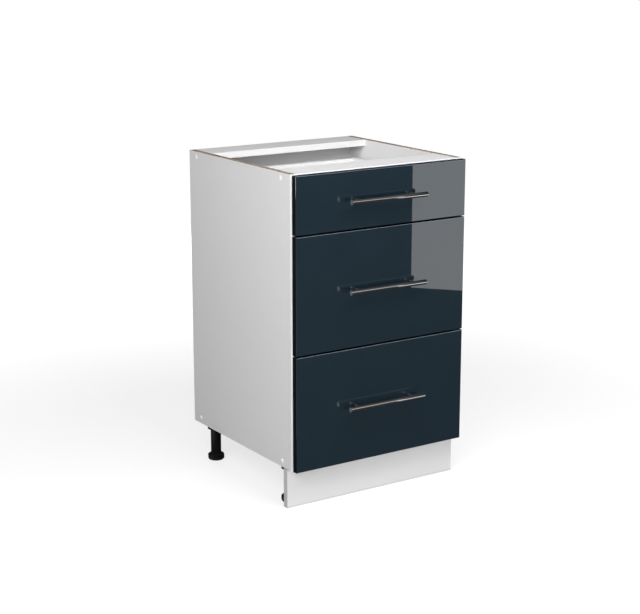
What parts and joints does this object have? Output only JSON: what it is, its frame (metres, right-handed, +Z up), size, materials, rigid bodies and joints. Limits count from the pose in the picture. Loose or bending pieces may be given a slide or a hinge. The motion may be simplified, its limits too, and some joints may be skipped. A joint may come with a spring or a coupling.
{
  "type": "kitchen base cabinet",
  "caption": "Kitchen base cabinet: white carcass with open top rails, gloss navy drawers on roller runners, steel bar handles, levelling feet and a clipped plinth.",
  "frame": {"origin": "on the floor, in the middle of the outer box", "axes": "+Z up, drawer fronts and handles face -Y, +X to the right seen from the front"},
  "size_m": [0.502, 0.533, 0.82],
  "materials": {
    "white_board": "satin melamine",
    "white_hardboard": "satin",
    "white_edge_band": "satin",
    "white_plinth": "satin melamine",
    "white_plastic": "satin",
    "navy_gloss": "high gloss lacquer",
    "handle_steel": "brushed",
    "white_steel": "epoxy coat",
    "roller_plastic": "satin",
    "black_plastic": "fine grain"
  },
  "bodies": {
    "carcass": {"left_side_panel": "white_board", "right_side_panel": "white_board", "bottom_panel": "white_board", "front_top_rail": "white_board", "rear_top_rail": "white_board", "back_panel": "white_hardboard", "front_edge_bands": "white_edge_band", "screw_cover_caps": "white_plastic", "plinth_board": "white_plinth", "plinth_clips": "black_plastic", "leg_sockets": "black_plastic", "front_legs": "black_plastic", "rear_legs": "black_plastic", "top_left_runner": "white_steel", "top_right_runner": "white_steel", "middle_left_runner": "white_steel", "middle_right_runner": "white_steel", "bottom_left_runner": "white_steel", "bottom_right_runner": "white_steel"},
    "top_drawer": {"top_drawer_front": "navy_gloss", "top_handle_bar": "handle_steel", "top_handle_posts": "handle_steel", "top_drawer_left_side": "white_board", "top_drawer_right_side": "white_board", "top_drawer_inner_front": "white_board", "top_drawer_back": "white_board", "top_drawer_bottom": "white_hardboard", "top_drawer_left_rail": "white_steel", "top_drawer_right_rail": "white_steel"},
    "top_front_rollers": {"top_front_rollers": "roller_plastic"},
    "top_rear_rollers": {"top_rear_rollers": "roller_plastic"},
    "middle_drawer": {"middle_drawer_front": "navy_gloss", "middle_handle_bar": "handle_steel", "middle_handle_posts": "handle_steel", "middle_drawer_left_side": "white_board", "middle_drawer_right_side": "white_board", "middle_drawer_inner_front": "white_board", "middle_drawer_back": "white_board", "middle_drawer_bottom": "white_hardboard", "middle_drawer_left_rail": "white_steel", "middle_drawer_right_rail": "white_steel"},
    "middle_front_rollers": {"middle_front_rollers": "roller_plastic"},
    "middle_rear_rollers": {"middle_rear_rollers": "roller_plastic"},
    "bottom_drawer": {"bottom_drawer_front": "navy_gloss", "bottom_handle_bar": "handle_steel", "bottom_handle_posts": "handle_steel", "bottom_drawer_left_side": "white_board", "bottom_drawer_right_side": "white_board", "bottom_drawer_inner_front": "white_board", "bottom_drawer_back": "white_board", "bottom_drawer_bottom": "white_hardboard", "bottom_drawer_left_rail": "white_steel", "bottom_drawer_right_rail": "white_steel"},
    "bottom_front_rollers": {"bottom_front_rollers": "roller_plastic"},
    "bottom_rear_rollers": {"bottom_rear_rollers": "roller_plastic"},
    "front_left_foot": {"front_left_foot": "black_plastic"},
    "front_right_foot": {"front_right_foot": "black_plastic"},
    "rear_left_foot": {"rear_left_foot": "black_plastic"},
    "rear_right_foot": {"rear_right_foot": "black_plastic"}
  },
  "joints": [
    {"name": "top_drawer_slide", "type": "slide", "parent": "carcass", "child": "top_drawer", "axis": [0, -1, 0], "range_m": [0, 0.3]},
    {"name": "top_front_rollers_turn", "type": "hinge", "parent": "carcass", "child": "top_front_rollers", "pos_m": [0, -0.1995, 0.7175], "axis": [1, 0, 0], "continuous": true},
    {"name": "top_rear_rollers_turn", "type": "hinge", "parent": "top_drawer", "child": "top_rear_rollers", "pos_m": [0, 0.1705, 0.7168], "axis": [1, 0, 0], "continuous": true},
    {"name": "middle_drawer_slide", "type": "slide", "parent": "carcass", "child": "middle_drawer", "axis": [0, -1, 0], "range_m": [0, 0.3]},
    {"name": "middle_front_rollers_turn", "type": "hinge", "parent": "carcass", "child": "middle_front_rollers", "pos_m": [0, -0.1995, 0.4285], "axis": [1, 0, 0], "continuous": true},
    {"name": "middle_rear_rollers_turn", "type": "hinge", "parent": "middle_drawer", "child": "middle_rear_rollers", "pos_m": [0, 0.1705, 0.4278], "axis": [1, 0, 0], "continuous": true},
    {"name": "bottom_drawer_slide", "type": "slide", "parent": "carcass", "child": "bottom_drawer", "axis": [0, -1, 0], "range_m": [0, 0.3]},
    {"name": "bottom_front_rollers_turn", "type": "hinge", "parent": "carcass", "child": "bottom_front_rollers", "pos_m": [0, -0.1995, 0.1395], "axis": [1, 0, 0], "continuous": true},
    {"name": "bottom_rear_rollers_turn", "type": "hinge", "parent": "bottom_drawer", "child": "bottom_rear_rollers", "pos_m": [0, 0.1705, 0.1388], "axis": [1, 0, 0], "continuous": true},
    {"name": "front_left_foot_level", "type": "slide", "parent": "carcass", "child": "front_left_foot", "axis": [0, 0, -1], "range_m": [0, 0.02]},
    {"name": "front_right_foot_level", "type": "slide", "parent": "carcass", "child": "front_right_foot", "axis": [0, 0, -1], "range_m": [0, 0.02]},
    {"name": "rear_left_foot_level", "type": "slide", "parent": "carcass", "child": "rear_left_foot", "axis": [0, 0, -1], "range_m": [0, 0.02]},
    {"name": "rear_right_foot_level", "type": "slide", "parent": "carcass", "child": "rear_right_foot", "axis": [0, 0, -1], "range_m": [0, 0.02]}
  ],
  "couplings": [
    {"joint": "top_front_rollers_turn", "follows": "top_drawer_slide", "rad_per_m": 100},
    {"joint": "top_rear_rollers_turn", "follows": "top_drawer_slide", "rad_per_m": 100},
    {"joint": "middle_front_rollers_turn", "follows": "middle_drawer_slide", "rad_per_m": 100},
    {"joint": "middle_rear_rollers_turn", "follows": "middle_drawer_slide", "rad_per_m": 100},
    {"joint": "bottom_front_rollers_turn", "follows": "bottom_drawer_slide", "rad_per_m": 100},
    {"joint": "bottom_rear_rollers_turn", "follows": "bottom_drawer_slide", "rad_per_m": 100}
  ]
}
